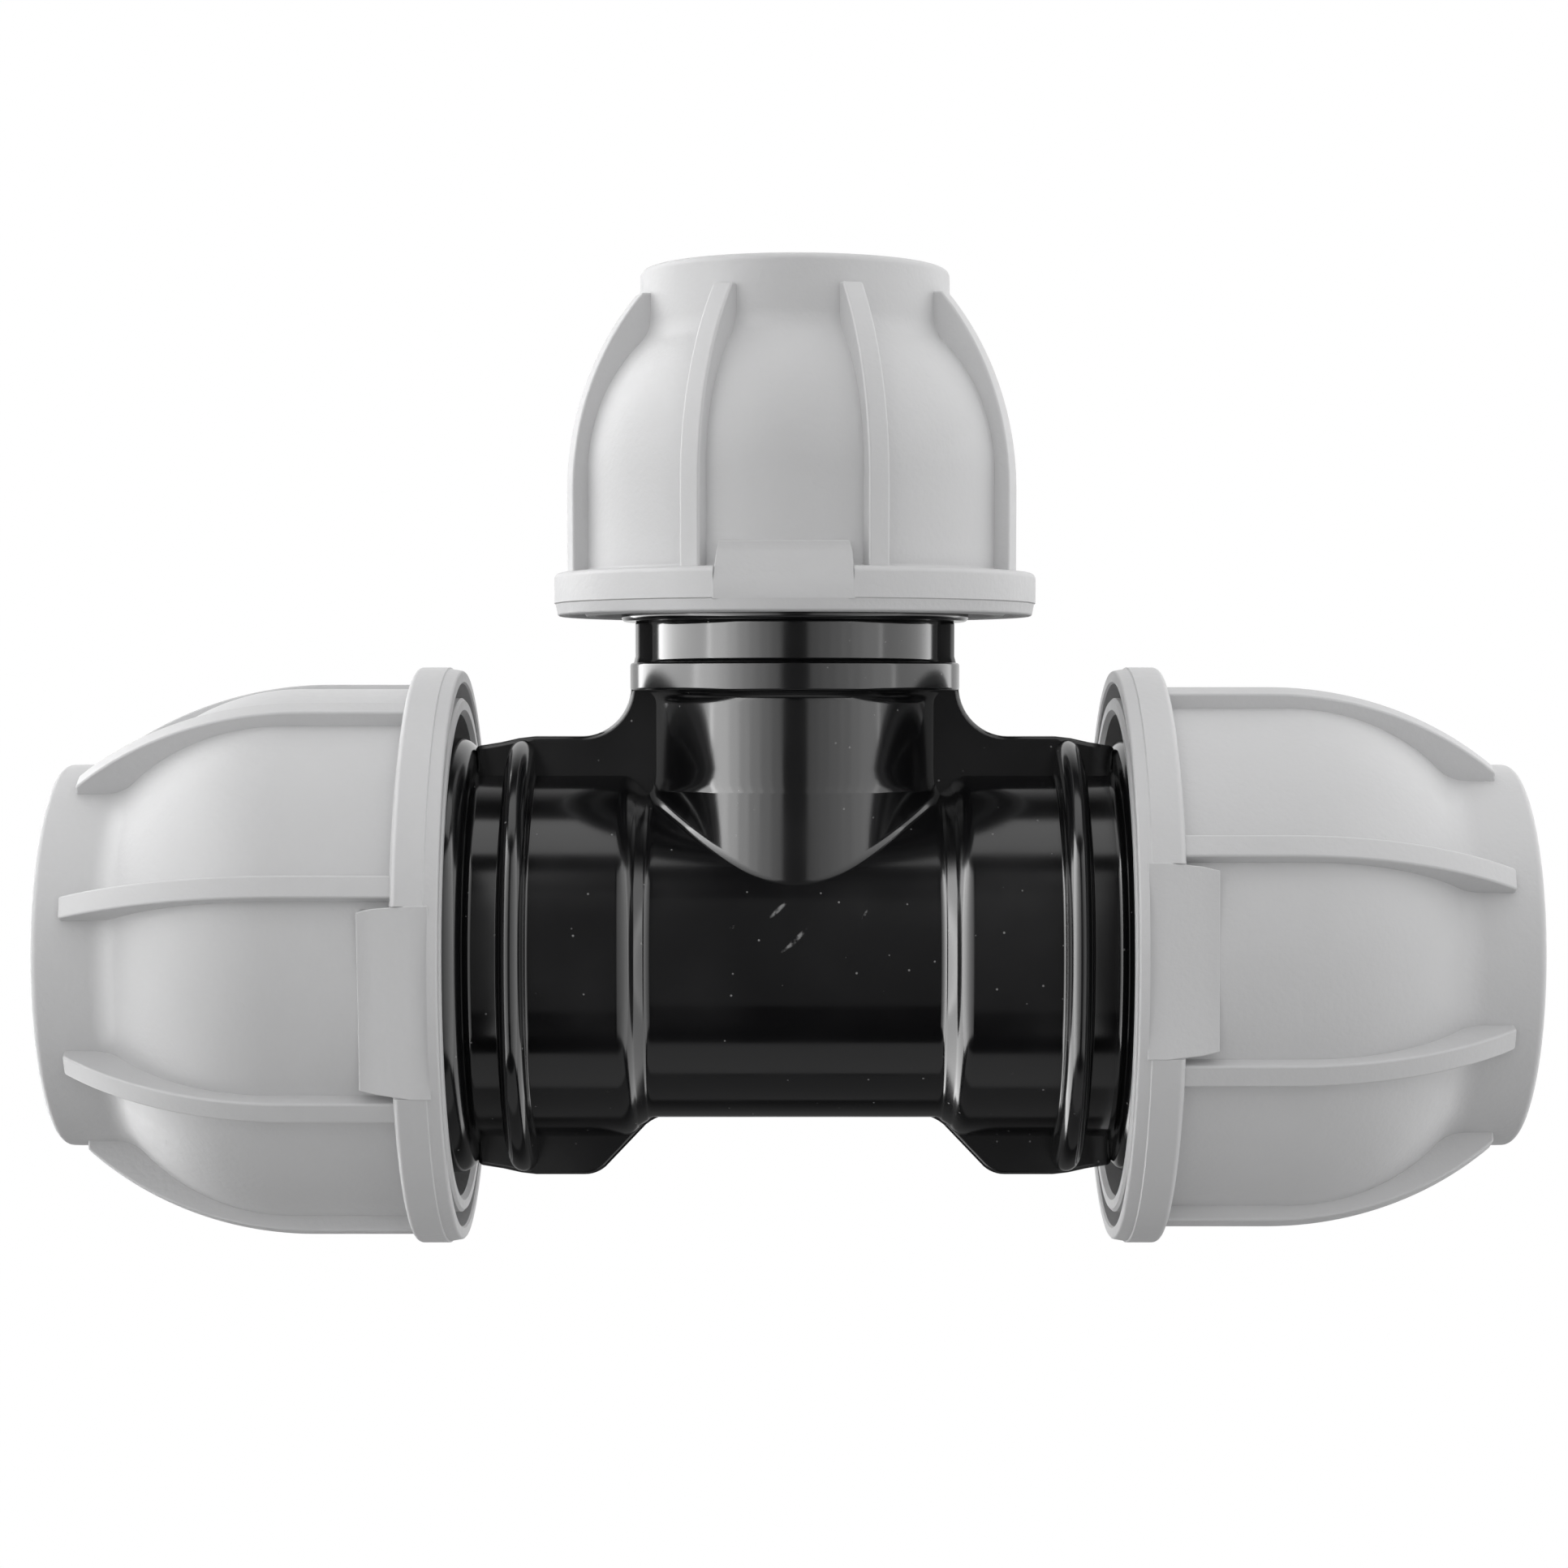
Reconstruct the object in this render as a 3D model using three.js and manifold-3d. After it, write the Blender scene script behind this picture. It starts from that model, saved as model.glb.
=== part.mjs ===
// Screw-compression reducing tee for polyethylene water pipe, 32 x 25 x 32 mm.
//
// One moulded body has three threaded sockets. Behind the ribbed nut of each socket lie a rubber O-ring,
// a thrust bush that presses on it, and a split grip ring that the nut's cone closes on the pipe.
//
// Millimetres. The origin is where the pipe axes cross, +X runs along the 32 mm line, +Z up the 25 mm branch.
// Each port is described in its own frame: +Z points out of the socket, and "station" is the distance
// from the crossing of the axes. Inside a nut, heights count from its body-side face.

import * as THREE from "three";
import { mergeVertices } from "three/addons/utils/BufferGeometryUtils.js";
import Module from "manifold-3d";

const wasm = await Module();
wasm.setup();

// ---------------------------------------------------------------- driving dimensions

const FACETS = 24; // sides of every round shape
const RIBS = 8; // grip ribs of a nut
const FACE_POCKETS = 8; // hollows in the face of a nut's flange
const EMBED = 0.6; // how far a joined piece reaches into what it is joined to
const WEB = 5; // thickness of the flat web in the body's parting plane
const RUN_TUBE = 18.1; // radius of the tube between the two run sockets
const BRANCH_NECK = 15.5; // radius of the neck that carries the branch socket
const SEAL_GAP = 0.2; // between an O-ring and its seat, as no pipe squeezes it

// A run port, for 32 mm pipe.
const RUN = {
  waterway: 13.2, // radius of the passage inside the body
  pipeBore: 16.3,
  pipeStop: 19.5, // station where the pipe's end stops
  seal: { seat: 40, chamber: 20, thickness: 3.5 },
  barrel: { start: 35.1, core: 24.2, end: 52 },
  thread: { crest: 26.3, lead: 6, root: 3.2, tip: 1.6, from: 4.2, turns: 1.75 },
  bush: { nose: 19.6, bore: 16.4, length: 10, flange: 23.5, flangeThickness: 2, base: 19.9 },
  grip: { base: 22.4, height: 11.4, wide: 24.2, narrow: 19.35, bore: 16.35, split: 4 },
  nut: {
    length: 44.2,
    flange: 32,
    flangeThickness: 5,
    shell: 29.6,
    domeStart: 18,
    domeRadius: 23.5,
    mouth: 21.3,
    rib: { radius: 31.25, width: 2.6, arcStart: 16, arcRadius: 39, end: 41 },
    pocket: { inner: 28.6, outer: 30.2, depth: 3.6, web: 2.2 },
    pad: { top: 32.1, from: 3.2, to: 8.5, foot: 30.7, halfAngle: 18.4 },
    bore: 26.8,
    boreEnd: 19.7,
    cone: [25.3, 21.5, 19.9, 34.6], // radius, height at its wide end, then at its narrow end
    pipeBore: 16.6,
    thread: { crest: 24.8, from: 4, turns: 1.75 },
  },
};

// The branch port, for 25 mm pipe: the same design about five sixths the size.
const BRANCH = {
  waterway: 10,
  pipeBore: 12.75,
  pipeStop: 22,
  seal: { seat: 41.5, chamber: 15.9, thickness: 3 },
  barrel: { start: 37, core: 19.2, end: 51.7 },
  thread: { crest: 21.1, lead: 5, root: 2.7, tip: 1.3, from: 3.1, turns: 1.95 },
  bush: { nose: 15.5, bore: 12.85, length: 6.8, flange: 18.9, flangeThickness: 1.6, base: 17.1 },
  grip: { base: 19.1, height: 9.6, wide: 19.2, narrow: 15.6, bore: 12.8, split: 3.4 },
  nut: {
    length: 37.8,
    flange: 26.6,
    flangeThickness: 4.7,
    shell: 24.2,
    domeStart: 15.2,
    domeRadius: 19.6,
    mouth: 17.1,
    rib: { radius: 25.9, width: 2.3, arcStart: 13.2, arcRadius: 33, end: 34.7 },
    pocket: { inner: 23.3, outer: 24.9, depth: 3, web: 1.9 },
    pad: { top: 26.7, from: 2.2, to: 7.3, foot: 25.2, halfAngle: 16.2 },
    bore: 21.6,
    boreEnd: 16.8,
    cone: [20.4, 18.4, 16.2, 29.4],
    pipeBore: 13.1,
    thread: { crest: 19.9, from: 3.4, turns: 1.75 },
  },
};

// Where each nut stands: station of its body-side face, and the angle of its blank pad.
// The left nut is screwed on a quarter turn less than the right one.
const PORTS = [
  { name: "left", size: RUN, out: "-x", face: 36.7, padAngle: -95.2 },
  { name: "right", size: RUN, out: "+x", face: 35.2, padAngle: -93 },
  { name: "branch", size: BRANCH, out: "+z", face: 37.6, padAngle: -92.8 },
];

// ---------------------------------------------------------------- materials

const bodyBlack = new THREE.MeshStandardMaterial({ color: 0x0b0b0c, roughness: 0.22, metalness: 0 });
const nutGrey = new THREE.MeshStandardMaterial({ color: 0xa9a9aa, roughness: 0.55, metalness: 0 });
const gripWhite = new THREE.MeshStandardMaterial({ color: 0xe9e7df, roughness: 0.5, metalness: 0 });
const bushBlack = new THREE.MeshStandardMaterial({ color: 0x161618, roughness: 0.45, metalness: 0 });
const sealRubber = new THREE.MeshStandardMaterial({ color: 0x101010, roughness: 0.8, metalness: 0 });

// ---------------------------------------------------------------- solids

// A closed mesh as a solid that can be joined and cut.
function solid(geometry) {
  const bare = geometry.clone();
  bare.deleteAttribute("normal");
  bare.deleteAttribute("uv");
  const merged = mergeVertices(bare, 1e-4);
  return new wasm.Manifold(
    new wasm.Mesh({
      numProp: 3,
      vertProperties: new Float32Array(merged.attributes.position.array),
      triVerts: new Uint32Array(merged.index.array),
    }),
  );
}

// A solid back as a geometry with flat facets.
function geometryOf(made) {
  const mesh = made.getMesh();
  const geometry = new THREE.BufferGeometry();
  geometry.setAttribute("position", new THREE.BufferAttribute(mesh.vertProperties, 3));
  geometry.setIndex(new THREE.BufferAttribute(mesh.triVerts, 1));
  const flat = geometry.toNonIndexed();
  flat.computeVertexNormals();
  return flat;
}

// A ring or shaft about +Z from a closed outline of [radius, height] points.
function turned(outline) {
  const points = [...outline, outline[0]].map(([radius, height]) => new THREE.Vector2(radius, height));
  return new THREE.LatheGeometry(points, FACETS).rotateX(Math.PI / 2);
}

// The points of an arc, from one angle to another in degrees.
function arc(centreX, centreY, radius, fromDegrees, toDegrees, steps) {
  return Array.from({ length: steps + 1 }, (_, i) => {
    const angle = THREE.MathUtils.degToRad(fromDegrees + ((toDegrees - fromDegrees) * i) / steps);
    return [centreX + radius * Math.cos(angle), centreY + radius * Math.sin(angle)];
  });
}

// A flat outline of [x, y] points given a thickness along Z, half of it on each side of zero.
function plate(outline, thickness) {
  const shape = new THREE.Shape(outline.map(([x, y]) => new THREE.Vector2(x, y)));
  return new THREE.ExtrudeGeometry(shape, { depth: thickness, bevelEnabled: false }).translate(
    0,
    0,
    -thickness / 2,
  );
}

// A right-hand thread ridge about +Z: a tapered section swept up a helix, fading out at both ends.
// At angle zero the first turn's centre is at height `start`. crest < root makes a nut's thread.
function threadRidge({ root, crest, start, phase, turns, lead, rootWidth, tipWidth }) {
  const inward = Math.sign(crest - root);
  const steps = Math.round(turns * FACETS);
  const fadeSteps = FACETS / 5;
  const foot = root - inward * EMBED;
  const section = [
    [foot, -rootWidth / 2],
    [crest, -tipWidth / 2],
    [crest, tipWidth / 2],
    [foot, rootWidth / 2],
  ];
  const positions = [];
  for (let i = 0; i <= steps; i += 1) {
    const turn = (i / steps) * turns;
    const fade = Math.max(0.1, Math.min(1, i / fadeSteps, (steps - i) / fadeSteps));
    const angle = phase + turn * 2 * Math.PI;
    for (const [radius, height] of section) {
      const r = radius === crest ? root + (crest - root) * fade : radius;
      positions.push(r * Math.cos(angle), r * Math.sin(angle), start + lead * turn + height);
    }
  }
  const sides = section.length;
  const index = [];
  for (let i = 0; i < steps; i += 1) {
    for (let j = 0; j < sides; j += 1) {
      const a = i * sides + j;
      const b = i * sides + ((j + 1) % sides);
      index.push(a, a + sides, b, b, a + sides, b + sides);
    }
  }
  const last = steps * sides;
  for (let j = 1; j < sides - 1; j += 1) {
    index.push(0, j, j + 1, last, last + j + 1, last + j);
  }
  if (inward < 0) {
    index.reverse();
  }
  const geometry = new THREE.BufferGeometry();
  geometry.setAttribute("position", new THREE.Float32BufferAttribute(positions, 3));
  geometry.setIndex(index);
  return geometry;
}

// Turns a port's own frame into the tee's frame.
function portTurn(out) {
  const turns = { "+x": Math.PI / 2, "-x": -Math.PI / 2, "+z": 0 };
  return new THREE.Matrix4().makeRotationY(turns[out]);
}

// ---------------------------------------------------------------- the body

// Half of the run tube: its socket, the bead ring near the nut, and the barrel that carries the thread.
function runOutline({ barrel }) {
  const socket = 20.2;
  const shoulderStart = 15.5;
  const shoulderEnd = 19.1;
  const bead = { station: 30.1, width: 2.8, radius: 24.1 };
  const half = bead.width / 2;
  const round = 1.6;
  return [
    [0, -1],
    [RUN_TUBE, -1],
    [RUN_TUBE, shoulderStart],
    [RUN_TUBE + 0.5, shoulderStart + 1.3],
    [socket - 0.5, shoulderEnd - 1.2],
    [socket, shoulderEnd],
    [socket, bead.station - half],
    [bead.radius - half, bead.station - half],
    ...arc(bead.radius - half, bead.station, half, -45, 45, 2),
    [bead.radius - half, bead.station + half],
    [socket, bead.station + half],
    [socket, barrel.start],
    [barrel.core - round, barrel.start],
    [barrel.core, barrel.start + round],
    [barrel.core, barrel.end - round / 2],
    [barrel.core - round / 2, barrel.end],
    [0, barrel.end],
  ];
}

// The branch: its neck, a flat band, a short stretch of tube and the barrel that carries the thread.
function branchOutline({ barrel }) {
  const band = { from: 29.3, to: 32.6, radius: 18.25 };
  const foot = { top: 17, radius: 15.7 };
  const collar = 15.9;
  const round = 0.4;
  return [
    [0, 0],
    [foot.radius, 0],
    [foot.radius, foot.top],
    [BRANCH_NECK, foot.top + 1],
    [BRANCH_NECK, band.from],
    [band.radius - round, band.from],
    [band.radius, band.from + round],
    [band.radius, band.to - round],
    [band.radius - round, band.to],
    [collar, band.to],
    [collar, barrel.start],
    [barrel.core - round, barrel.start],
    [barrel.core, barrel.start + round],
    [barrel.core, barrel.end - round],
    [barrel.core - round, barrel.end],
    [0, barrel.end],
  ];
}

// The web in the plane of the three axes: it stands proud of the tubes as a flat fin.
function webOutline() {
  const top = 24.4;
  const neckSide = 18.1;
  const fillet = 5.5;
  const socketEnd = 35.3;
  const bandUnder = 29.9;
  const upperSide = 17.6;
  const branchEnd = 37.2;
  const right = [
    [upperSide, branchEnd],
    [upperSide, 32.4],
    [neckSide, 32.2],
    [neckSide, bandUnder],
    ...arc(neckSide + fillet, top + fillet, fillet, 180, 270, 4),
    [28.8, top],
    [32, 23.8],
    [socketEnd, 23.3],
    [socketEnd, -23.3],
    [32, -23.8],
    [28.8, -top],
    [22.4, -24.2],
    [20.4, -23.4],
    [16.4, -19.8],
    [13.9, -18.3],
    [10.8, -17.6],
  ];
  const left = right.map(([x, z]) => [-x, z]).reverse();
  return [...right, ...left];
}

// What is hollow in one port: the waterway, the pipe's bore and the chamber of the O-ring.
function portHollow({ waterway, pipeBore, pipeStop, seal, barrel }, from) {
  const leadIn = 0.8;
  const over = 1;
  return turned([
    [0, from],
    [waterway, from],
    [waterway, pipeStop],
    [pipeBore, pipeStop],
    [pipeBore, seal.seat],
    [seal.chamber, seal.seat],
    [seal.chamber, barrel.end - leadIn],
    [seal.chamber + leadIn, barrel.end],
    [seal.chamber + leadIn, barrel.end + over],
    [0, barrel.end + over],
  ]);
}

// The thread on a socket. It runs halfway between the turns of the nut that stands on it.
function bodyThread({ size, face, padAngle }) {
  const { barrel, thread, nut } = size;
  const start = barrel.start + thread.from;
  const betweenNutTurns = face + nut.thread.from + thread.lead / 2;
  const turnsBefore = (start - betweenNutTurns) / thread.lead;
  return threadRidge({
    root: barrel.core,
    crest: thread.crest,
    start,
    phase: THREE.MathUtils.degToRad(padAngle) + turnsBefore * 2 * Math.PI,
    turns: thread.turns,
    lead: thread.lead,
    rootWidth: thread.root,
    tipWidth: thread.tip,
  });
}

function teeBody() {
  let body = solid(plate(webOutline(), WEB).rotateX(Math.PI / 2));
  for (const port of PORTS) {
    const turn = portTurn(port.out);
    const outline = port.out === "+z" ? branchOutline(port.size) : runOutline(port.size);
    body = body.add(solid(turned(outline).applyMatrix4(turn)));
    body = body.add(solid(bodyThread(port).applyMatrix4(turn)));
  }
  for (const port of PORTS) {
    const from = port.out === "+z" ? 0 : -1;
    body = body.subtract(solid(portHollow(port.size, from).applyMatrix4(portTurn(port.out))));
  }
  return geometryOf(body);
}

// ---------------------------------------------------------------- the pieces of a port

// A nut's shell: flange, straight wall, dome and mouth outside; thread bore, cone and pipe bore inside.
function nutOutline({ length, flange, flangeThickness, shell, domeStart, domeRadius, mouth, ...inside }) {
  const { bore, boreEnd, cone, pipeBore } = inside;
  const [wide, wideAt, narrow, narrowAt] = cone;
  const round = 0.6;
  const domeCentre = shell - domeRadius;
  const domeEnd = THREE.MathUtils.radToDeg(Math.acos((mouth + 0.5 - domeCentre) / domeRadius));
  const domeTop = domeStart + domeRadius * Math.sin(THREE.MathUtils.degToRad(domeEnd));
  const endRound = 0.8;
  return [
    [bore, 0],
    [flange - round, 0],
    [flange, round],
    [flange, flangeThickness - round],
    [flange - round, flangeThickness],
    [shell, flangeThickness],
    ...arc(domeCentre, domeStart, domeRadius, 0, domeEnd, 4),
    [mouth, domeTop + 1.4],
    [mouth, length - endRound],
    [mouth - endRound, length],
    [pipeBore, length],
    [pipeBore, narrowAt + 1],
    [narrow, narrowAt],
    [wide, wideAt],
    [bore, boreEnd],
  ];
}

// One rib, standing on the shell from the flange to the mouth, with a blunt end.
function nutRib({ shell, domeStart, domeRadius, flangeThickness, mouth, rib }) {
  const ribCentre = rib.radius - rib.arcRadius;
  const ribEnd = THREE.MathUtils.radToDeg(Math.asin((rib.end - rib.arcStart) / rib.arcRadius));
  const under = domeRadius - 1.2;
  const domeCentre = shell - domeRadius;
  const underEnd = THREE.MathUtils.radToDeg(Math.acos((mouth - 1.2 - domeCentre) / under));
  const outline = [
    [shell - 1.2, flangeThickness - 1],
    [rib.radius, flangeThickness - 1],
    ...arc(ribCentre, rib.arcStart, rib.arcRadius, 0, ribEnd, 4),
    [mouth - 1.2, rib.end],
    ...arc(domeCentre, domeStart, under, underEnd, 0, 3),
  ];
  return plate(outline, rib.width).rotateX(Math.PI / 2);
}

// The blank pad on the flange: a ramp that falls from the flange's rim to the shell.
function nutPad({ shell, pad }) {
  const inside = shell - 1;
  const ring = solid(
    turned([
      [inside, pad.from],
      [pad.top, pad.from],
      [pad.top, pad.from + 0.6],
      [pad.foot, pad.to - 0.5],
      [pad.foot - 0.4, pad.to],
      [inside, pad.to],
    ]),
  );
  const reach = 2 * pad.top;
  const half = reach * Math.tan(THREE.MathUtils.degToRad(pad.halfAngle));
  const wedge = plate(
    [
      [0, 0],
      [reach, -half],
      [reach, half],
    ],
    4 * pad.to,
  );
  return ring.intersect(solid(wedge));
}

// The hollows between the flange's rim and its inner ring, with webs left between them.
function nutPockets({ pocket }) {
  const over = 1;
  let hollow = solid(
    turned([
      [pocket.inner, -over],
      [pocket.outer, -over],
      [pocket.outer, pocket.depth],
      [pocket.inner, pocket.depth],
    ]),
  );
  for (let i = 0; i < FACE_POCKETS / 2; i += 1) {
    const web = new THREE.BoxGeometry(4 * pocket.outer, pocket.web, 4 * pocket.depth);
    hollow = hollow.subtract(solid(web.rotateZ((i * 2 * Math.PI) / FACE_POCKETS)));
  }
  return hollow;
}

function nutGeometry({ nut, thread }) {
  let made = solid(turned(nutOutline(nut)));
  for (let i = 0; i < RIBS; i += 1) {
    const rib = nutRib(nut);
    made = made.add(solid(rib.rotateZ(((i + 0.5) * 2 * Math.PI) / RIBS)));
  }
  made = made.add(nutPad(nut)).subtract(nutPockets(nut));
  const ridge = threadRidge({
    root: nut.bore,
    crest: nut.thread.crest,
    start: nut.thread.from,
    phase: 0,
    turns: nut.thread.turns,
    lead: thread.lead,
    rootWidth: thread.root,
    tipWidth: thread.tip,
  });
  return geometryOf(made.add(solid(ridge)));
}

// The split ring that grips the pipe: a cone outside, saw teeth inside.
function gripRingGeometry({ grip }) {
  const teeth = 3;
  const toothDepth = 0.9;
  const pitch = grip.height / (teeth + 1);
  const inner = Array.from({ length: teeth }, (_, i) => {
    const top = grip.height - (i + 0.5) * pitch;
    return [
      [grip.bore, top],
      [grip.bore + toothDepth, top - pitch],
    ];
  }).flat();
  const ring = solid(
    turned([
      [grip.bore + toothDepth, 0],
      [grip.wide - 0.6, 0],
      [grip.wide, 0.6],
      [grip.narrow, grip.height],
      [grip.bore + toothDepth, grip.height],
      ...inner,
    ]),
  );
  const slot = new THREE.BoxGeometry(2 * grip.wide, grip.split, 3 * grip.height);
  return geometryOf(ring.subtract(solid(slot.translate(grip.wide, 0, 0))));
}

// The thrust bush: a tube whose nose presses the O-ring, with a flange that the grip ring pushes.
function thrustBushGeometry({ bush }) {
  const edge = 0.5;
  return turned([
    [bush.bore, -bush.length + bush.flangeThickness],
    [bush.nose - edge, -bush.length + bush.flangeThickness],
    [bush.nose, -bush.length + bush.flangeThickness + edge],
    [bush.nose, 0],
    [bush.flange, 0],
    [bush.flange, bush.flangeThickness],
    [bush.bore, bush.flangeThickness],
  ]);
}

function oRingGeometry({ pipeBore, seal }) {
  const section = seal.thickness / 2;
  const middle = (pipeBore + seal.chamber) / 2;
  const outline = arc(middle, 0, section, 0, 360, 8).slice(0, -1);
  return turned(outline);
}

// ---------------------------------------------------------------- assembly

function piece(name, geometry, material, station, turnDegrees = 0) {
  const mesh = new THREE.Mesh(geometry, material);
  mesh.name = name;
  mesh.position.z = station;
  mesh.rotation.z = THREE.MathUtils.degToRad(turnDegrees);
  return mesh;
}

function portGroup({ name, size, out, face, padAngle }) {
  const group = new THREE.Group();
  group.setRotationFromMatrix(portTurn(out));
  const sealStation = size.seal.seat + size.seal.thickness / 2 + SEAL_GAP;
  const bushStation = face + size.bush.base;
  const gripStation = face + size.grip.base;
  const splitAngle = padAngle + 90;
  group.add(
    piece(`${name}_o_ring`, oRingGeometry(size), sealRubber, sealStation),
    piece(`${name}_thrust_bush`, thrustBushGeometry(size), bushBlack, bushStation),
    piece(`${name}_grip_ring`, gripRingGeometry(size), gripWhite, gripStation, splitAngle),
    piece(`${name}_nut`, nutGeometry(size), nutGrey, face, padAngle),
  );
  return group;
}

const tee = new THREE.Group();
const body = new THREE.Mesh(teeBody(), bodyBlack);
body.name = "tee_body";
tee.add(body, ...PORTS.map(portGroup));

export default tee;
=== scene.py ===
"""Screw-compression reducing tee: a glossy black body, three ribbed grey nuts, and the grip rings,
thrust bushes and O-rings behind them. Sizes here are in millimetres and turned to metres by MM."""

import math

import bpy
from mathutils import Matrix, Vector


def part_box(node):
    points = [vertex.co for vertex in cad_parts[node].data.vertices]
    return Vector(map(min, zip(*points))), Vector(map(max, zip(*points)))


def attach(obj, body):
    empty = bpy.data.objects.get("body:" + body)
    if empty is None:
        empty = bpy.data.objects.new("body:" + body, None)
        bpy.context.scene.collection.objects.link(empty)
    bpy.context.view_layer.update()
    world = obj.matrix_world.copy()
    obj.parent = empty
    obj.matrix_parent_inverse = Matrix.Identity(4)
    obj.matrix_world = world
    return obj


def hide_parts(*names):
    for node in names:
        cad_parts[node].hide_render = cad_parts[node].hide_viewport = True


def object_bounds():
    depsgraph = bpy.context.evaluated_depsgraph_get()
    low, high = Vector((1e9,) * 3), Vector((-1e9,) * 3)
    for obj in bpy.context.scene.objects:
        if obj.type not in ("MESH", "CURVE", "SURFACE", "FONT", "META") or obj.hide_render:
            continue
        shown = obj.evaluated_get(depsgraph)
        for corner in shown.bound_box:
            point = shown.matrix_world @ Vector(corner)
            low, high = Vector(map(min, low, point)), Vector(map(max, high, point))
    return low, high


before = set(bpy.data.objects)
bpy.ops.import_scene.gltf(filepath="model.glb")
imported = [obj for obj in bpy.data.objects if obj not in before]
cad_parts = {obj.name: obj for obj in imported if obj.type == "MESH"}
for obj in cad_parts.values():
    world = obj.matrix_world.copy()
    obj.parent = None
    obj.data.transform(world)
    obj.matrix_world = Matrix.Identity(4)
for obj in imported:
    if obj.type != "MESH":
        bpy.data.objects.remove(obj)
cad_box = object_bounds()

MM = 0.001
AROUND = 192  # sides of a turned shape
BORE_AROUND = 128  # sides of the body's bores
THREAD_AROUND = 96  # steps of a thread in one turn
RIBS = 8
POCKETS = 24  # walls across the groove in a nut's flange
ON_AXIS = 1e-7  # metres: closer to the axis than this is on it


# ------------------------------------------------------------------ sizes

RUN = {
    "waterway": 13.2, "pipe_bore": 16.3, "pipe_stop": 19.5,
    "seat": 40.0, "chamber": 20.0, "core": 24.2, "crest": 26.3, "lead": 6.0,
    "ridge_root": 3.2, "ridge_tip": 1.6, "thread_from": 4.2, "thread_turns": 1.75,
    "barrel_start": 35.1, "barrel_end": 52.0, "seal": 3.5,
    "nut": {
        "length": 44.2, "flange": 32.0, "flange_thick": 5.0, "line": 1.4, "shell": 29.6,
        "dome_start": 18.0, "dome_radius": 23.5, "mouth": 21.3, "blend": 4.5,
        "rib": 31.25, "rib_width": 2.45, "rib_arc_start": 16.0, "rib_arc": 39.0, "rib_end": 41.0,
        "pocket_in": 28.6, "pocket_out": 30.2, "pocket_deep": 3.6, "pocket_web": 1.1,
        "pad": {"top": 30.5, "from": 1.1, "slope_from": 3.1, "slope_to": 6.8, "foot": 29.7, "to": 8.5},
        "pad_width": 20.3,
        "bore": 26.8, "bore_end": 19.7, "cone": (25.3, 21.5, 19.9, 34.6), "pipe": 16.6,
        "thread_crest": 24.8, "thread_from": 4.0, "thread_turns": 1.75,
    },
    "bush": {"nose": 19.6, "bore": 16.4, "length": 10.0, "flange": 23.5, "thick": 2.0},
    "grip": {"height": 11.4, "wide": 24.2, "narrow": 19.35, "bore": 16.35, "split": 4.0},
}
BRANCH = {
    "waterway": 10.0, "pipe_bore": 12.75, "pipe_stop": 22.0,
    "seat": 41.5, "chamber": 15.9, "core": 19.2, "crest": 21.1, "lead": 5.0,
    "ridge_root": 2.7, "ridge_tip": 1.3, "thread_from": 3.1, "thread_turns": 1.95,
    "barrel_start": 37.0, "barrel_end": 51.7, "seal": 3.0,
    "nut": {
        "length": 37.8, "flange": 26.6, "flange_thick": 4.7, "line": 1.3, "shell": 24.2,
        "dome_start": 15.2, "dome_radius": 19.6, "mouth": 17.1, "blend": 3.8,
        "rib": 25.9, "rib_width": 2.3, "rib_arc_start": 13.2, "rib_arc": 33.0, "rib_end": 34.7,
        "pocket_in": 23.3, "pocket_out": 24.9, "pocket_deep": 3.0, "pocket_web": 1.0,
        "pad": {"top": 25.6, "from": 1.3, "slope_from": 3.1, "slope_to": 6.2, "foot": 24.35, "to": 7.3},
        "pad_width": 14.8,
        "bore": 21.6, "bore_end": 16.8, "cone": (20.4, 18.4, 16.2, 29.4), "pipe": 13.1,
        "thread_crest": 19.9, "thread_from": 3.4, "thread_turns": 1.75,
    },
    "bush": {"nose": 15.5, "bore": 12.85, "length": 6.8, "flange": 18.9, "thick": 1.6},
    "grip": {"height": 9.6, "wide": 19.2, "narrow": 15.6, "bore": 12.8, "split": 3.4},
}
# Each port: its sizes, the turn about Y that points its +Z out of the socket, and its pad's angle.
PORTS = {
    "left": (RUN, -90.0, -95.2),
    "right": (RUN, 90.0, -93.0),
    "branch": (BRANCH, 0.0, -92.8),
}
RUN_TUBE = 18.1  # radius of the run between its two sockets
NECK_FOOT = 15.8  # radius of the branch's neck where it meets the run
WEB = 5.0  # thickness of the fin in the plane of the axes


def port_matrix(port):
    """Turns a port's own frame, +Z out of the socket, into the tee's frame."""
    return Matrix.Rotation(math.radians(PORTS[port][1]), 4, "Y")


def lowest_station(port, node):
    """How far from the crossing of the axes a node starts, along its port."""
    low, high = (Vector(corner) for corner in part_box(node))
    out = port_matrix(port) @ Vector((0, 0, 1))
    return min(low.dot(out), high.dot(out))


# ------------------------------------------------------------------ working by hand

def edit(select="SELECT"):
    bpy.ops.object.mode_set(mode="EDIT")
    bpy.ops.mesh.select_mode(type="VERT")
    bpy.ops.mesh.select_all(action=select)


def leave_edit():
    bpy.ops.object.mode_set(mode="OBJECT")


def pick(obj):
    bpy.ops.object.select_all(action="DESELECT")
    obj.select_set(True)
    bpy.context.view_layer.objects.active = obj


def arc(centre, radius, start, end, steps):
    """Points of an arc about centre, from one angle to another in degrees."""
    turns = [math.radians(start + (end - start) * i / steps) for i in range(steps + 1)]
    return [(centre[0] + radius * math.cos(t), centre[1] + radius * math.sin(t)) for t in turns]


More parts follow.
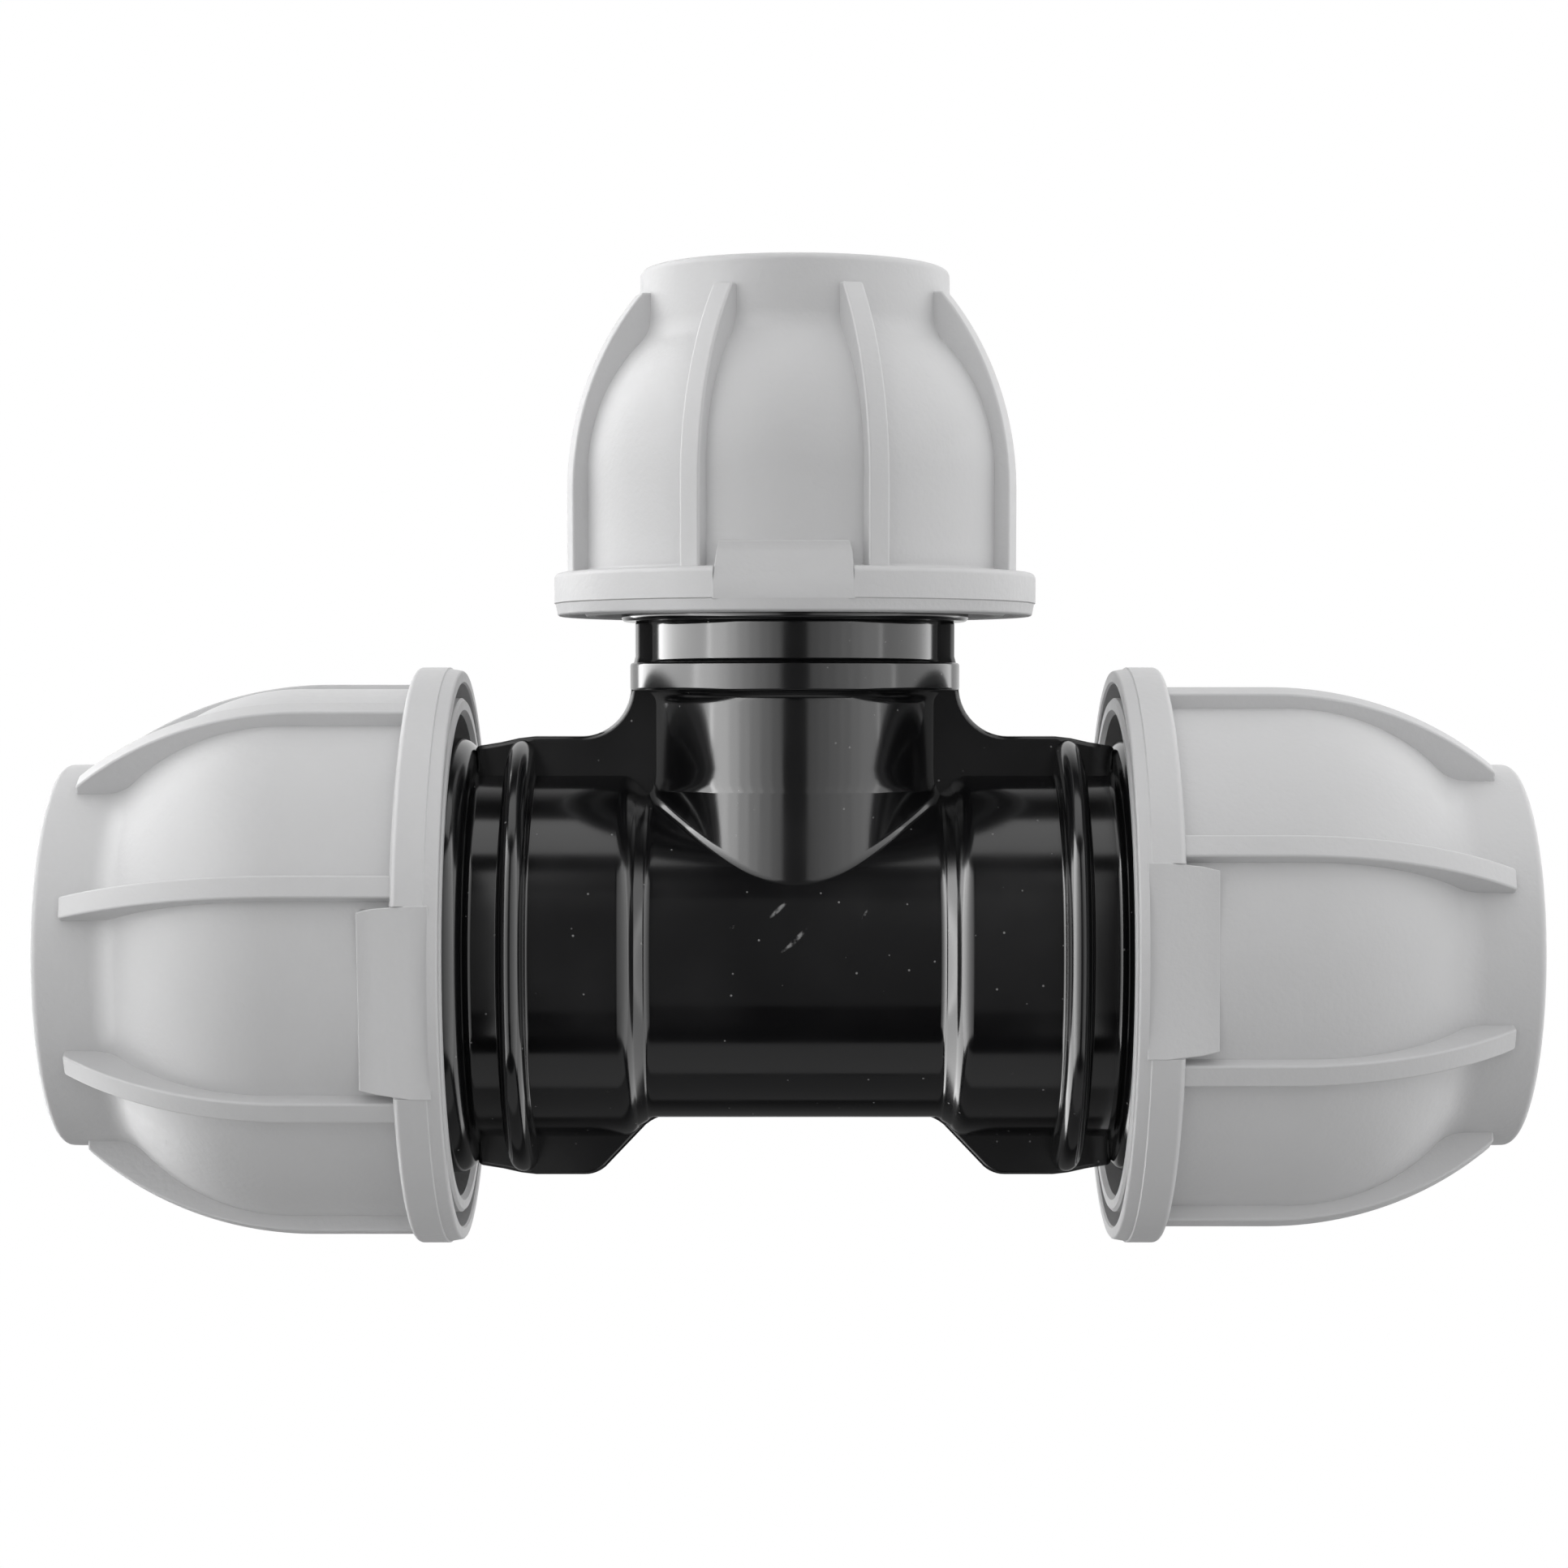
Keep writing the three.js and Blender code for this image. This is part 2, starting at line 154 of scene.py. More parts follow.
def draw(name, points):
    """A flat outline in the XZ plane: a circle with one vertex for each point, pulled into shape."""
    bpy.ops.object.select_all(action="DESELECT")
    bpy.ops.mesh.primitive_circle_add(vertices=len(points), radius=10 * MM, fill_type="NGON")
    obj = bpy.context.object
    obj.name = name
    for vertex, (across, up) in zip(obj.data.vertices, points):
        vertex.co = (across * MM, 0, up * MM)
    return obj


def turn(name, points, steps=AROUND):
    """An outline of (radius, height) points spun about Z into a closed shape."""
    obj = draw(name, points)
    edit()
    bpy.ops.mesh.delete(type="ONLY_FACE")
    leave_edit()
    on_axis = [abs(vertex.co.x) < ON_AXIS for vertex in obj.data.vertices]
    if sum(on_axis) > 1:
        edit("DESELECT")
        leave_edit()
        for edge in obj.data.edges:
            edge.select = all(on_axis[i] for i in edge.vertices)
        bpy.ops.object.mode_set(mode="EDIT")
        bpy.ops.mesh.select_mode(type="EDGE")
        bpy.ops.mesh.delete(type="EDGE")
        leave_edit()
    edit()
    bpy.ops.mesh.spin(steps=steps, angle=2 * math.pi, center=(0, 0, 0), axis=(0, 0, 1))
    bpy.ops.mesh.select_all(action="SELECT")
    bpy.ops.mesh.remove_doubles(threshold=1e-6)
    bpy.ops.mesh.normals_make_consistent(inside=False)
    leave_edit()
    return obj


def plate(name, points, thick, round_edge=0.0):
    """An outline given a thickness along Y, half on each side."""
    obj = draw(name, points)
    edit()
    bpy.ops.mesh.extrude_region_move(TRANSFORM_OT_translate={"value": (0, thick * MM, 0)})
    bpy.ops.mesh.select_all(action="SELECT")
    bpy.ops.transform.translate(value=(0, -thick * MM / 2, 0))
    bpy.ops.mesh.normals_make_consistent(inside=False)
    leave_edit()
    if round_edge:
        bevel = obj.modifiers.new("edges", "BEVEL")
        bevel.width = round_edge * MM
        bevel.segments = 3
        bevel.angle_limit = math.radians(50)
        bpy.ops.object.modifier_apply(modifier=bevel.name)
    return obj


def placed(obj, matrix):
    """Moves an object and makes its place part of its mesh."""
    obj.matrix_world = matrix @ obj.matrix_world
    pick(obj)
    bpy.ops.object.transform_apply(location=True, rotation=True, scale=True)
    return obj


def copied(obj, name):
    pick(obj)
    bpy.ops.object.duplicate()
    twin = bpy.context.object
    twin.name = name
    return twin


def joined(name, objects):
    """Several overlapping shapes as one object."""
    bpy.ops.object.select_all(action="DESELECT")
    for obj in objects:
        obj.select_set(True)
    bpy.context.view_layer.objects.active = objects[0]
    bpy.ops.object.join()
    obj = bpy.context.object
    obj.name = name
    return obj


def combine(obj, tool, operation):
    """Adds or cuts with another shape, which is used up."""
    pick(obj)
    boolean = obj.modifiers.new(operation.lower(), "BOOLEAN")
    boolean.operation = operation
    boolean.solver = "EXACT"
    boolean.object = tool
    bpy.ops.object.modifier_apply(modifier=boolean.name)
    bpy.data.objects.remove(tool)
    return obj


def smooth(obj, degrees=30):
    pick(obj)
    bpy.ops.object.shade_smooth_by_angle(angle=math.radians(degrees))
    return obj


def finished(obj, degrees=32):
    """Clean skin after joining shapes: tiny edges closed, round faces smooth, flats kept flat."""
    pick(obj)
    edit()
    bpy.ops.mesh.remove_doubles(threshold=2e-7)
    leave_edit()
    smooth(obj, degrees)
    weighted = obj.modifiers.new("weighted", "WEIGHTED_NORMAL")
    weighted.keep_sharp = True
    bpy.ops.object.modifier_apply(modifier=weighted.name)
    return obj


def thread(name, root, crest, start, phase, turns, lead, root_width, tip_width):
    """A thread ridge: a tapered section screwed up about Z, fading out at both ends."""
    buried, lowest, fade_turns = 0.6, 0.1, 0.12
    inward = 1 if crest > root else -1
    foot = root - inward * buried
    section = [
        (foot, -root_width / 2), (crest, -tip_width / 2), (crest, tip_width / 2), (foot, root_width / 2),
    ]
    obj = draw(name, section)
    steps = round(turns * THREAD_AROUND)
    screw = obj.modifiers.new("screw", "SCREW")
    screw.axis = "Z"
    screw.angle = turns * 2 * math.pi
    screw.screw_offset = turns * lead * MM
    screw.steps = screw.render_steps = steps
    screw.use_smooth_shade = False
    bpy.ops.object.modifier_apply(modifier=screw.name)
    fade = fade_turns * 2 * math.pi
    total = turns * 2 * math.pi
    for index, vertex in enumerate(obj.data.vertices):
        along = total * (index // len(section)) / steps
        share = max(lowest, min(1.0, along / fade, (total - along) / fade))
        radius = vertex.co.xy.length / MM
        if abs(radius - crest) < 0.01:
            wanted = root + (crest - root) * share
            vertex.co.x *= wanted / radius
            vertex.co.y *= wanted / radius
    edit()
    bpy.ops.mesh.fill_holes(sides=0)
    bpy.ops.mesh.normals_make_consistent(inside=False)
    leave_edit()
    return placed(obj, Matrix.Translation((0, 0, start * MM)) @ Matrix.Rotation(phase, 4, "Z"))


# ------------------------------------------------------------------ materials

def node(tree, kind, **values):
    made = tree.nodes.new(kind)
    for key, value in values.items():
        if key in made.inputs:
            made.inputs[key].default_value = value
        else:
            setattr(made, key, value)
    return made


def plastic(name, colour, roughness):
    material = bpy.data.materials.new(name)
    material.use_nodes = True
    tree = material.node_tree
    shader = tree.nodes["Principled BSDF"]
    shader.inputs["Base Color"].default_value = (*colour, 1)
    shader.inputs["Roughness"].default_value = roughness
    place = node(tree, "ShaderNodeTexCoord")
    return material, tree, shader, place


def ramp(tree, source, low, high, from_value, to_value):
    """A value spread from one pair of limits to another."""
    spread = node(tree, "ShaderNodeMapRange")
    spread.inputs["From Min"].default_value = low
    spread.inputs["From Max"].default_value = high
    spread.inputs["To Min"].default_value = from_value
    spread.inputs["To Max"].default_value = to_value
    tree.links.new(source, spread.inputs["Value"])
    return spread.outputs["Result"]


def noise(tree, place, scale, detail=2.0):
    made = node(tree, "ShaderNodeTexNoise", Scale=scale, Detail=detail)
    tree.links.new(place.outputs["Object"], made.inputs["Vector"])
    return made.outputs["Fac"]


def bump(tree, shader, height, strength, distance):
    made = node(tree, "ShaderNodeBump", Strength=strength, Distance=distance)
    tree.links.new(height, made.inputs["Height"])
    tree.links.new(made.outputs["Normal"], shader.inputs["Normal"])


def mix_colour(tree, factor, first, second):
    mix = node(tree, "ShaderNodeMix", data_type="RGBA")
    tree.links.new(factor, mix.inputs[0])
    mix.inputs[6].default_value = (*first, 1)
    mix.inputs[7].default_value = (*second, 1)
    return mix.outputs[2]


def calculated(tree, operation, first, second):
    """Two values multiplied, or the greater of them, as the operation says."""
    made = node(tree, "ShaderNodeMath", operation=operation)
    tree.links.new(first, made.inputs[0])
    tree.links.new(second, made.inputs[1])
    return made.outputs["Value"]


def scuff(tree, place, centre, slope, long, wide):
    """A short light rub mark: an ellipsoid round its place on the surface, broken up by a fine noise."""
    local = node(tree, "ShaderNodeMapping", vector_type="TEXTURE")
    local.inputs["Location"].default_value = [c * MM for c in centre]
    local.inputs["Rotation"].default_value = (0, math.radians(slope), 0)
    local.inputs["Scale"].default_value = (long * MM / 2, 2 * MM, wide * MM / 2)
    tree.links.new(place.outputs["Object"], local.inputs["Vector"])
    away = node(tree, "ShaderNodeVectorMath", operation="LENGTH")
    tree.links.new(local.outputs["Vector"], away.inputs[0])
    inside = ramp(tree, away.outputs["Value"], 1.0, 0.5, 0.0, 1.0)
    broken = ramp(tree, noise(tree, place, 1600.0, 2.0), 0.4, 0.6, 0.0, 1.0)
    return calculated(tree, "MULTIPLY", inside, broken)


# Rub marks on the front of the run tube: middle, slope in degrees, length and width.
SCUFFS = (
    ((-1.8, -17.0, 6.1), -42, 2.9, 0.55), ((0.1, -17.8, 3.0), -45, 3.4, 0.6),
    ((-0.9, -17.9, 2.1), -40, 1.8, 0.4), ((-6.8, -17.6, 4.2), -30, 1.2, 0.35),
    ((7.4, -17.2, 5.6), -60, 1.3, 0.3),
)


def body_material():
    """Glossy black polypropylene with dust, a few rub marks and a slight ripple."""
    black, dusty, rubbed = (0.005, 0.005, 0.0055), (0.15, 0.15, 0.15), 0.45
    material, tree, shader, place = plastic("body_black", black, 0.12)
    cells = node(tree, "ShaderNodeTexVoronoi", Scale=560.0)
    tree.links.new(place.outputs["Object"], cells.inputs["Vector"])
    one_in_some = ramp(tree, cells.outputs["Color"], 0.5, 0.62, 0.0, 1.0)
    dots = ramp(tree, cells.outputs["Distance"], 0.085, 0.045, 0.0, 1.0)
    marks = calculated(tree, "MULTIPLY", dots, one_in_some)
    for centre, slope, long, wide in SCUFFS:
        marks = calculated(tree, "MAXIMUM", marks, scuff(tree, place, centre, slope, long, wide))
    tree.links.new(mix_colour(tree, marks, black, dusty), shader.inputs["Base Color"])
    gloss = ramp(tree, noise(tree, place, 60.0, 4.0), 0.35, 0.7, 0.11, 0.2)
    tree.links.new(calculated(tree, "MAXIMUM", gloss, ramp(tree, marks, 0.0, 1.0, 0.0, rubbed)),
                   shader.inputs["Roughness"])
    bump(tree, shader, noise(tree, place, 90.0, 2.0), 0.05, 0.0004)
    return material


def nut_material():
    """Satin light-grey polypropylene with a fine moulded grain."""
    material, tree, shader, place = plastic("nut_grey", (0.54, 0.54, 0.545), 0.45)
    shader.inputs["Specular IOR Level"].default_value = 0.2
    tree.links.new(mix_colour(tree, noise(tree, place, 45.0, 3.0), (0.51, 0.51, 0.515), (0.57, 0.57, 0.575)),
                   shader.inputs["Base Color"])
    tree.links.new(ramp(tree, noise(tree, place, 700.0, 2.0), 0.3, 0.7, 0.4, 0.52),
                   shader.inputs["Roughness"])
    bump(tree, shader, noise(tree, place, 1500.0, 3.0), 0.22, 0.0002)
    return material


def simple_material(name, colour, second, roughness, grain):
    """Moulded plastic or rubber with a slightly uneven colour and a fine grain."""
    material, tree, shader, place = plastic(name, colour, roughness)
    tree.links.new(mix_colour(tree, noise(tree, place, 80.0, 3.0), colour, second),
                   shader.inputs["Base Color"])
    bump(tree, shader, noise(tree, place, grain, 2.0), 0.15, 0.0002)
    return material


# ------------------------------------------------------------------ the nut

def nut_shell(n):
    """Flange, wall, dome and mouth outside; thread bore, cone and pipe bore inside."""
    wide, wide_at, narrow, narrow_at = n["cone"]
    centre, blend = n["shell"] - n["dome_radius"], n["blend"]
    reach = n["dome_radius"] + blend
    # the concave blend between dome and mouth collar touches both
    blend_up = math.sqrt(reach ** 2 - (n["mouth"] + blend - centre) ** 2)
    dome_end = math.degrees(math.atan2(blend_up, n["mouth"] + blend - centre))
    flange, thick, line = n["flange"], n["flange_thick"], n["line"]
    edge, corner, end, length = 0.65, 0.3, 0.8, n["length"]
    points = [
        (n["bore"] + 0.5, 0), (n["pocket_in"] - 0.3, 0),
        (n["pocket_in"], 0.3), (n["pocket_in"], n["pocket_deep"]),
        (n["pocket_out"], n["pocket_deep"]), (n["pocket_out"], 0.2), (n["pocket_out"] + 0.2, 0),
        *arc((flange - 0.35 - corner, corner), corner, -90, 0, 3),
        (flange - 0.16, line), (flange, line + 0.12),
        *arc((flange - edge, thick - edge), edge, 0, 90, 6),
        *arc((n["shell"] + 0.35, thick + 0.35), 0.35, 270, 180, 4),
        *arc((centre, n["dome_start"]), n["dome_radius"], 0, dome_end, 28),
        *arc((n["mouth"] + blend, n["dome_start"] + blend_up), blend, 180 + dome_end, 180, 10)[1:],
        *arc((n["mouth"] - 0.1 - end, length - end), end, 0, 90, 6),
        (n["pipe"] + 0.6, length), (n["pipe"], length - 0.6),
        (n["pipe"], narrow_at + 1.0), (narrow, narrow_at), (wide, wide_at), (n["bore"], n["bore_end"]),
        (n["bore"], 0.5),
    ]
    return turn("nut_shell", points)


def nut_rib(n):
    """One rib: it follows the shell, stands taller over the dome and ends square on the mouth."""
    buried, in_flange = 1.5, 1.3
    centre = n["rib"] - n["rib_arc"]
    end_angle = math.degrees(math.asin((n["rib_end"] - n["rib_arc_start"]) / n["rib_arc"]))
    low = n["mouth"] - buried
    dome_centre = n["shell"] - n["dome_radius"]
    inner = n["dome_radius"] - buried
    inner_end = math.degrees(math.acos((low - dome_centre) / inner))
    points = [
        (n["shell"] - buried, n["flange_thick"] - in_flange), (n["rib"], n["flange_thick"] - in_flange),
        *arc((centre, n["rib_arc_start"]), n["rib_arc"], 0, end_angle, 24),
        (low, n["rib_end"]),
        *arc((dome_centre, n["dome_start"]), inner, inner_end, 0, 16),
    ]
    return plate("nut_rib", points, n["rib_width"], 0.28)


def nut_pad(nut_so_far, n):
    """The blank label pad: the flange's rim is cut flat, and a flat block slopes on down to the shell,
    a little narrower at its far end."""
    pad, sunk, under, taper = n["pad"], 0.15, 2.3, 0.92
    top, foot = pad["top"], pad["foot"]
    past, tall = n["flange_thick"] + 0.2, n["flange"] + 2.0
    share = (past - pad["slope_from"]) / (pad["slope_to"] - pad["slope_from"])
    cutter = plate("cutter", [
        (top - sunk, pad["from"]), (top - sunk, pad["slope_from"]), (top - (top - foot) * share - sunk, past),
        (tall, past), (tall, pad["from"]),
    ], n["pad_width"] - 0.1)
    combine(nut_so_far, cutter, "DIFFERENCE")
    block = plate("pad", [
        (foot - under, pad["from"] - 0.1), (top, pad["from"] - 0.1), (top, pad["slope_from"]),
        (foot, pad["slope_to"]), (foot, pad["to"]), (foot - under, pad["to"]),
    ], n["pad_width"], 0.12)
    for vertex in block.data.vertices:
        along = max(0.0, vertex.co.z / MM - past) / (pad["to"] - past)
        vertex.co.y *= 1 + (taper - 1) * along
    combine(nut_so_far, block, "UNION")


def around(shape, count, offset=0.0):
    """Copies of a shape at equal angles about Z, as one object. The shape itself is used up."""
    twins = [placed(copied(shape, shape.name), Matrix.Rotation((i + offset) * 2 * math.pi / count, 4, "Z"))
             for i in range(count)]
    bpy.data.objects.remove(shape)
    return joined(twins[0].name, twins)


def pocket_web(n):
    """A wall across the groove in the flange's face."""
    bpy.ops.object.select_all(action="DESELECT")
    middle = (n["pocket_in"] + n["pocket_out"]) / 2
    bpy.ops.mesh.primitive_cube_add(size=MM, location=(middle * MM, 0, (n["pocket_deep"] / 2 + 0.4) * MM))
    web = bpy.context.object
    web.name = "pocket_web"
    web.scale = (n["pocket_out"] - n["pocket_in"] + 0.5, n["pocket_web"], n["pocket_deep"])
    return placed(web, Matrix.Identity(4))


def nut(name, size):
    n = size["nut"]
    made = nut_shell(n)
    combine(made, around(nut_rib(n), RIBS, 0.5), "UNION")
    nut_pad(made, n)
    combine(made, around(pocket_web(n), POCKETS), "UNION")
    combine(made, thread("nut_thread", n["bore"], n["thread_crest"], n["thread_from"], 0.0,
                         n["thread_turns"], size["lead"], size["ridge_root"], size["ridge_tip"]), "UNION")
    made.name = name
    return finished(made)


# ------------------------------------------------------------------ inside a port

def grip_ring(name, grip):
    """The split ring that grips the pipe: a cone outside, saw teeth inside."""
    teeth, deep = 4, 0.9
    pitch = (grip["height"] - 1.4) / teeth
    saw = []
    for i in range(teeth):
        top = grip["height"] - 0.7 - i * pitch
        saw += [(grip["bore"], top), (grip["bore"], top - 0.25), (grip["bore"] + deep, top - pitch + 0.15)]
    points = [
        (grip["bore"] + deep, 0), (grip["wide"] - 0.6, 0), (grip["wide"] - 0.15, 0.15), (grip["wide"], 0.6),
        (grip["narrow"] + 0.1, grip["height"] - 0.5), (grip["narrow"] - 0.4, grip["height"]),
        (grip["bore"] + 0.4, grip["height"]), *saw,
    ]
    ring = turn(name, points)
    bpy.ops.object.select_all(action="DESELECT")
    bpy.ops.mesh.primitive_cube_add(size=MM, location=(grip["wide"] * MM, 0, grip["height"] * MM / 2))
    slot = bpy.context.object
    slot.scale = (2 * grip["wide"], grip["split"], 3 * grip["height"])
    ring = combine(ring, placed(slot, Matrix.Identity(4)), "DIFFERENCE")
    return smooth(ring)


def thrust_bush(name, bush):
    """A tube whose nose presses the O-ring, with a flange for the grip ring to push."""
    edge, low = 0.5, bush["thick"] - bush["length"]
    points = [
        (bush["bore"] + 0.4, low), (bush["nose"] - edge, low),
        *arc((bush["nose"] - edge, low + edge), edge, -60, 0, 3),
        (bush["nose"], -0.5), (bush["nose"] + 0.15, -0.15), (bush["nose"] + 0.5, 0),
        (bush["flange"] - 0.3, 0), (bush["flange"], 0.3),
        (bush["flange"], bush["thick"] - 0.3), (bush["flange"] - 0.3, bush["thick"]),
        (bush["bore"] + 0.5, bush["thick"]), (bush["bore"], bush["thick"] - 0.5), (bush["bore"], low + 0.4),
    ]
    return smooth(turn(name, points), 40)


def o_ring(name, size):
    """A rubber ring of round section with the fine flash line of its mould."""
    section = size["seal"] / 2
    middle = (size["pipe_bore"] + size["chamber"]) / 2
    points = [
        *arc((middle, 0), section, 3, 177, 16), (middle - section - 0.04, 0),
        *arc((middle, 0), section, 183, 357, 16), (middle + section + 0.04, 0),
    ]
    return smooth(turn(name, points), 60)


# ------------------------------------------------------------------ the body

def run_outline():
    """The run tube from end to end: tube, shoulder, socket, bead ring, recess and threaded barrel."""
    socket, bead, half = 20.2, 24.1, 1.4
    centre, ease = 30.1, 0.35
    start, core, end, edge = RUN["barrel_start"], RUN["core"], RUN["barrel_end"], 2.2
    half_side = [
        (RUN_TUBE, 0), (RUN_TUBE, 15.2),
        *arc((RUN_TUBE + 1.0, 15.5), 1.0, 180, 125, 5),
        *arc((socket - 2.4, 19.2), 2.4, -58, 0, 8),
        (socket, centre - half - ease), *arc((socket + ease, centre - half - ease), ease, 180, 90, 3)[1:],
        (bead - half, centre - half), *arc((bead - half, centre), half, -90, 90, 14),
        *arc((socket + ease, centre + half + ease), ease, -90, -180, 3),
        (socket, start - 0.8), *arc((socket + 0.8, start - 0.8), 0.8, 180, 90, 4)[1:],
        *arc((core - edge, start + edge), edge, -90, 0, 9),
        (core, end - 0.7), (core - 0.7, end), (5.0, end),
    ]
    mirrored = [(r, -s) for r, s in reversed(half_side[1:])]
    return half_side + mirrored


def branch_outline():
    """Neck, flat band, short tube and threaded barrel."""
    low, neck, band, upper = NECK_FOOT, 15.5, 18.25, 15.9
    under, over, edge = 29.4, 32.5, 0.35
    start, core, end = BRANCH["barrel_start"], BRANCH["core"], BRANCH["barrel_end"]
    return [
        (3.0, 1.0), (low, 1.0), (low, 18.4), (low - 0.03, 18.5), (15.68, 18.8), (15.58, 19.3),
        (15.52, 20.1), (neck, 21.0),
        (neck, under - 1.4), *arc((neck + 1.4, under - 1.4), 1.4, 180, 90, 5)[1:],
        *arc((band - edge, under + edge), edge, -90, 0, 4), *arc((band - edge, over - edge), edge, 0, 90, 4),
        *arc((upper + 0.5, over + 0.5), 0.5, 270, 180, 4), (upper, start - 0.5),
        *arc((upper + 0.5, start - 0.5), 0.5, 180, 90, 3)[1:],
        *arc((core - 0.5, start + 0.5), 0.5, -90, 0, 4),
        (core, end - 0.6), (core - 0.6, end), (3.0, end),
    ]


def web_outline():
    """The flat fin in the plane of the three axes."""
    top, side, fillet = 24.4, 18.1, 5.5
    right = [
        (17.6, 37.2), (17.6, 33.2), (17.8, 32.4), (side, 31.8),
        *arc((side + fillet, top + fillet), fillet, 180, 270, 14),
        (28.8, top), (30.5, 24.2), (32.5, 23.75), (35.3, 23.3),
        (35.3, -23.3), (32.5, -23.75), (30.5, -24.2), (28.8, -top), (24.0, -top),
        *arc((23.4, -20.9), 3.5, -90, -132, 6),
        *arc((13.6, -22.3), 4.6, 42, 88, 6)[1:], (10.8, -17.6),
    ]
    return right + [(-x, z) for x, z in reversed(right)]


def hollow(name, size, through):
    """What is hollow in a port: waterway, pipe bore and O-ring chamber. The run's goes right through."""
    lead_in, inner = 0.8, 2.0
    end = size["barrel_end"] + 1.0
    bores = [
        (size["waterway"], size["pipe_stop"]),
        (size["pipe_bore"] - 0.3, size["pipe_stop"]), (size["pipe_bore"], size["pipe_stop"] + 0.3),
        (size["pipe_bore"], size["seat"]), (size["chamber"] - 0.4, size["seat"]),
        (size["chamber"], size["seat"] + 0.4), (size["chamber"], size["barrel_end"] - lead_in),
        (size["chamber"] + lead_in, size["barrel_end"]), (size["chamber"] + lead_in, end), (0, end),
    ]
    if through:
        return turn(name, [(r, -s) for r, s in reversed(bores)] + bores, BORE_AROUND)
    return turn(name, [(0, inner), (size["waterway"], inner)] + bores, BORE_AROUND)


def saddle_fillet(radius=1.1, steps=240, across=8):
    """The rounded crease where the neck meets the run tube: a ball rolled round the joint."""
    run, neck, deep, past = RUN_TUBE, NECK_FOOT, 2.2, 4.0
    rings = []
    for i in range(steps):
        turned = 2 * math.pi * i / steps
        x, y = (neck + radius) * math.sin(turned), (neck + radius) * math.cos(turned)
        z = math.sqrt((run + radius) ** 2 - y ** 2)
        ball = Vector((x, y, z))
        to_run = Vector((0, -y, -z)).normalized()
        to_neck = Vector((-x, -y, 0)).normalized()
        whole = to_run.angle(to_neck)
        ring = []
        for j in range(across + 1):
            share = (whole + 2 * math.radians(past)) * j / across - math.radians(past)
            side = (to_neck - to_run * to_run.dot(to_neck)).normalized()
            ring.append(ball + (to_run * math.cos(share) + side * math.sin(share)) * radius)
        shrink = (neck - deep) / (neck + radius)
        ring.append(Vector((x * shrink, y * shrink, z)))
        shrink = (run - deep) / (run + radius)
        ring.append(Vector((x, y * shrink, z * shrink)))
        rings.append(ring)
    sides = len(rings[0])
    vertices = [point * MM for ring in rings for point in ring]
    faces = []
    for i in range(steps):
        after = (i + 1) % steps
        for j in range(sides):
            other = (j + 1) % sides
            faces.append((i * sides + j, after * sides + j, after * sides + other, i * sides + other))
    mesh = bpy.data.meshes.new("saddle_fillet")
    mesh.from_pydata(vertices, [], faces)
    obj = bpy.data.objects.new("saddle_fillet", mesh)
    bpy.context.scene.collection.objects.link(obj)
    pick(obj)
    edit()
    bpy.ops.mesh.normals_make_consistent(inside=False)
    leave_edit()
    return obj


def body_thread(port):
    size, _, pad_angle = PORTS[port]
    face = lowest_station(port, port + "_nut") / MM
    start = size["barrel_start"] + size["thread_from"]
    between = face + size["nut"]["thread_from"] + size["lead"] / 2
    before = (start - between) / size["lead"]
    phase = math.radians(pad_angle) + before * 2 * math.pi
    ridge = thread(port + "_ridge", size["core"], size["crest"], start, phase,
                   size["thread_turns"], size["lead"], size["ridge_root"], size["ridge_tip"])
    return placed(ridge, port_matrix(port))


def tee_body():
    body = placed(turn("tee_body_fine", run_outline()), port_matrix("right"))
    body = combine(body, turn("branch", branch_outline()), "UNION")
    body = combine(body, saddle_fillet(), "UNION")
    body = combine(body, plate("web", web_outline(), WEB, 0.5), "UNION")
    for port in PORTS:
        body = combine(body, body_thread(port), "UNION")
    body = combine(body, placed(hollow("run_hollow", RUN, True), port_matrix("right")), "DIFFERENCE")
    body = combine(body, hollow("branch_hollow", BRANCH, False), "DIFFERENCE")
    return finished(body)


# ------------------------------------------------------------------ assembly

def show(obj, node_name, body, material):
    """A finished piece that stands for a node of the frame."""
    obj.name = node_name + "_fine"
    obj.data.name = obj.name
    obj.data.materials.clear()
    obj.data.materials.append(material)
    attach(obj, body)
    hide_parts(node_name)


def assemble():
    finishes = {
        "body_black": body_material(),
        "nut_grey": nut_material(),
        "grip_white": simple_material("grip_white", (0.74, 0.72, 0.66), (0.8, 0.78, 0.73), 0.42, 900.0),
        "bush_black": simple_material("bush_black", (0.02, 0.02, 0.022), (0.03, 0.03, 0.032), 0.38, 900.0),
        "seal_rubber": simple_material("seal_rubber", (0.016, 0.016, 0.016), (0.03, 0.03, 0.03), 0.7, 1500.0),
    }
    show(tee_body(), "tee_body", "tee_body", finishes["body_black"])
    run_nut = nut("run_nut", RUN)
    nuts = {"left": run_nut, "right": copied(run_nut, "right"), "branch": nut("branch_nut", BRANCH)}
    for port, (size, _, pad_angle) in PORTS.items():
        matrix = port_matrix(port)
        pieces = [
            (nuts[port], "nut", "_nut", "nut_grey", pad_angle, 0.0),
            (grip_ring(port, size["grip"]), "grip_ring", "_grip", "grip_white", pad_angle + 90, 0.0),
            (thrust_bush(port, size["bush"]), "thrust_bush", "_grip", "bush_black", 0.0,
             size["bush"]["length"] - size["bush"]["thick"]),
            (o_ring(port, size), "o_ring", None, "seal_rubber", 0.0, size["seal"] / 2),
        ]
        for obj, word, body, slot, angle, base in pieces:
            name = f"{port}_{word}"
            station = lowest_station(port, name) + base * MM
            spot = Matrix.Translation((0, 0, station)) @ Matrix.Rotation(math.radians(angle), 4, "Z")
            placed(obj, matrix @ spot)
            show(obj, name, port + body if body else "tee_body", finishes[slot])


# ------------------------------------------------------------------ studio

